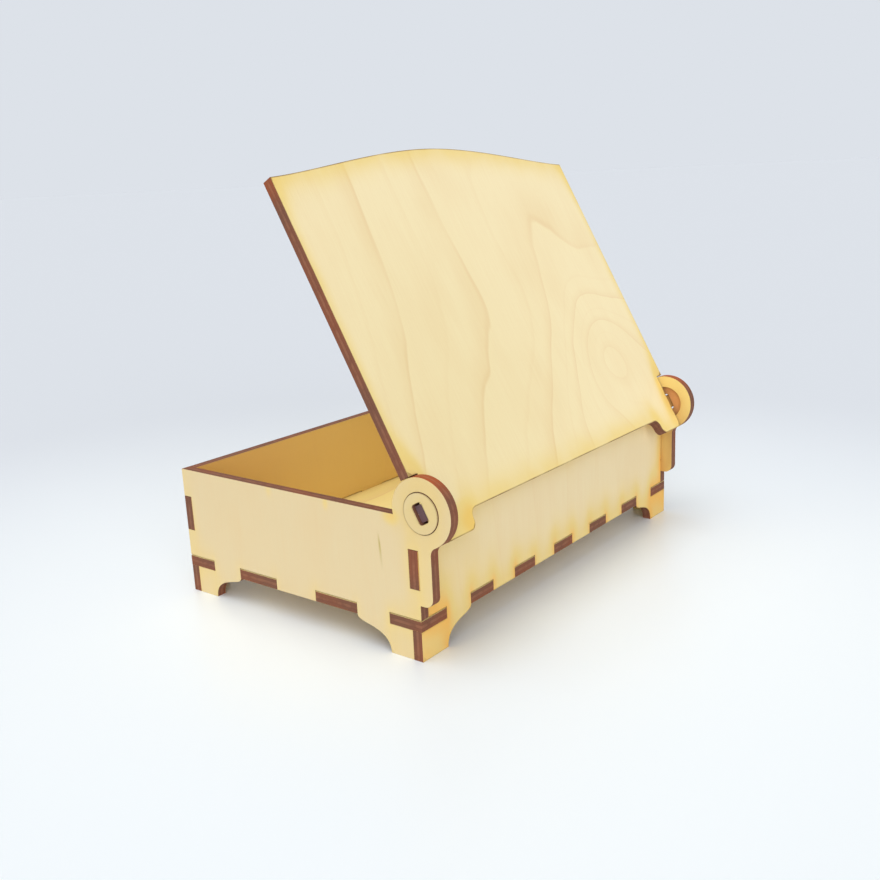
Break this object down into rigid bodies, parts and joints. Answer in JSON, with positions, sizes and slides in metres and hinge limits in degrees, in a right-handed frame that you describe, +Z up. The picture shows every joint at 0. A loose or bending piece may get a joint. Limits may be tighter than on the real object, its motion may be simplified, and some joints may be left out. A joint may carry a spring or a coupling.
{
  "type": "wooden keepsake box",
  "caption": "Finger-jointed plywood keepsake box with bracket feet and a bow-fronted lid that turns on slotted discs in round ears behind the back wall.",
  "frame": {"origin": "on the ground, under the middle of the whole part at rest, ears included", "axes": "+X along the box, +Y from the front (opening) side to the hinge, +Z up"},
  "size_m": [0.1362, 0.0986, 0.1248],
  "materials": {
    "floor_plywood": "bare pale veneer with scorched cut edges",
    "wall_plywood": "bare pale veneer with scorched cut edges",
    "lid_plywood": "bare pale veneer with scorched cut edges",
    "disc_plywood": "bare pale veneer with scorched cut edges"
  },
  "bodies": {
    "box": {"floor_panel": "floor_plywood", "front_panel": "wall_plywood", "back_panel": "wall_plywood", "right_end_panel": "wall_plywood", "left_end_panel": "wall_plywood"},
    "lid": {"lid_panel": "lid_plywood", "right_hinge_disc": "disc_plywood", "left_hinge_disc": "disc_plywood"}
  },
  "joints": [
    {"name": "lid_hinge", "type": "hinge", "parent": "box", "child": "lid", "pos_m": [0.0004, 0.0403, 0.0394], "axis": [-1, 0, 0], "range_deg": [-61.2, 28.8]}
  ]
}
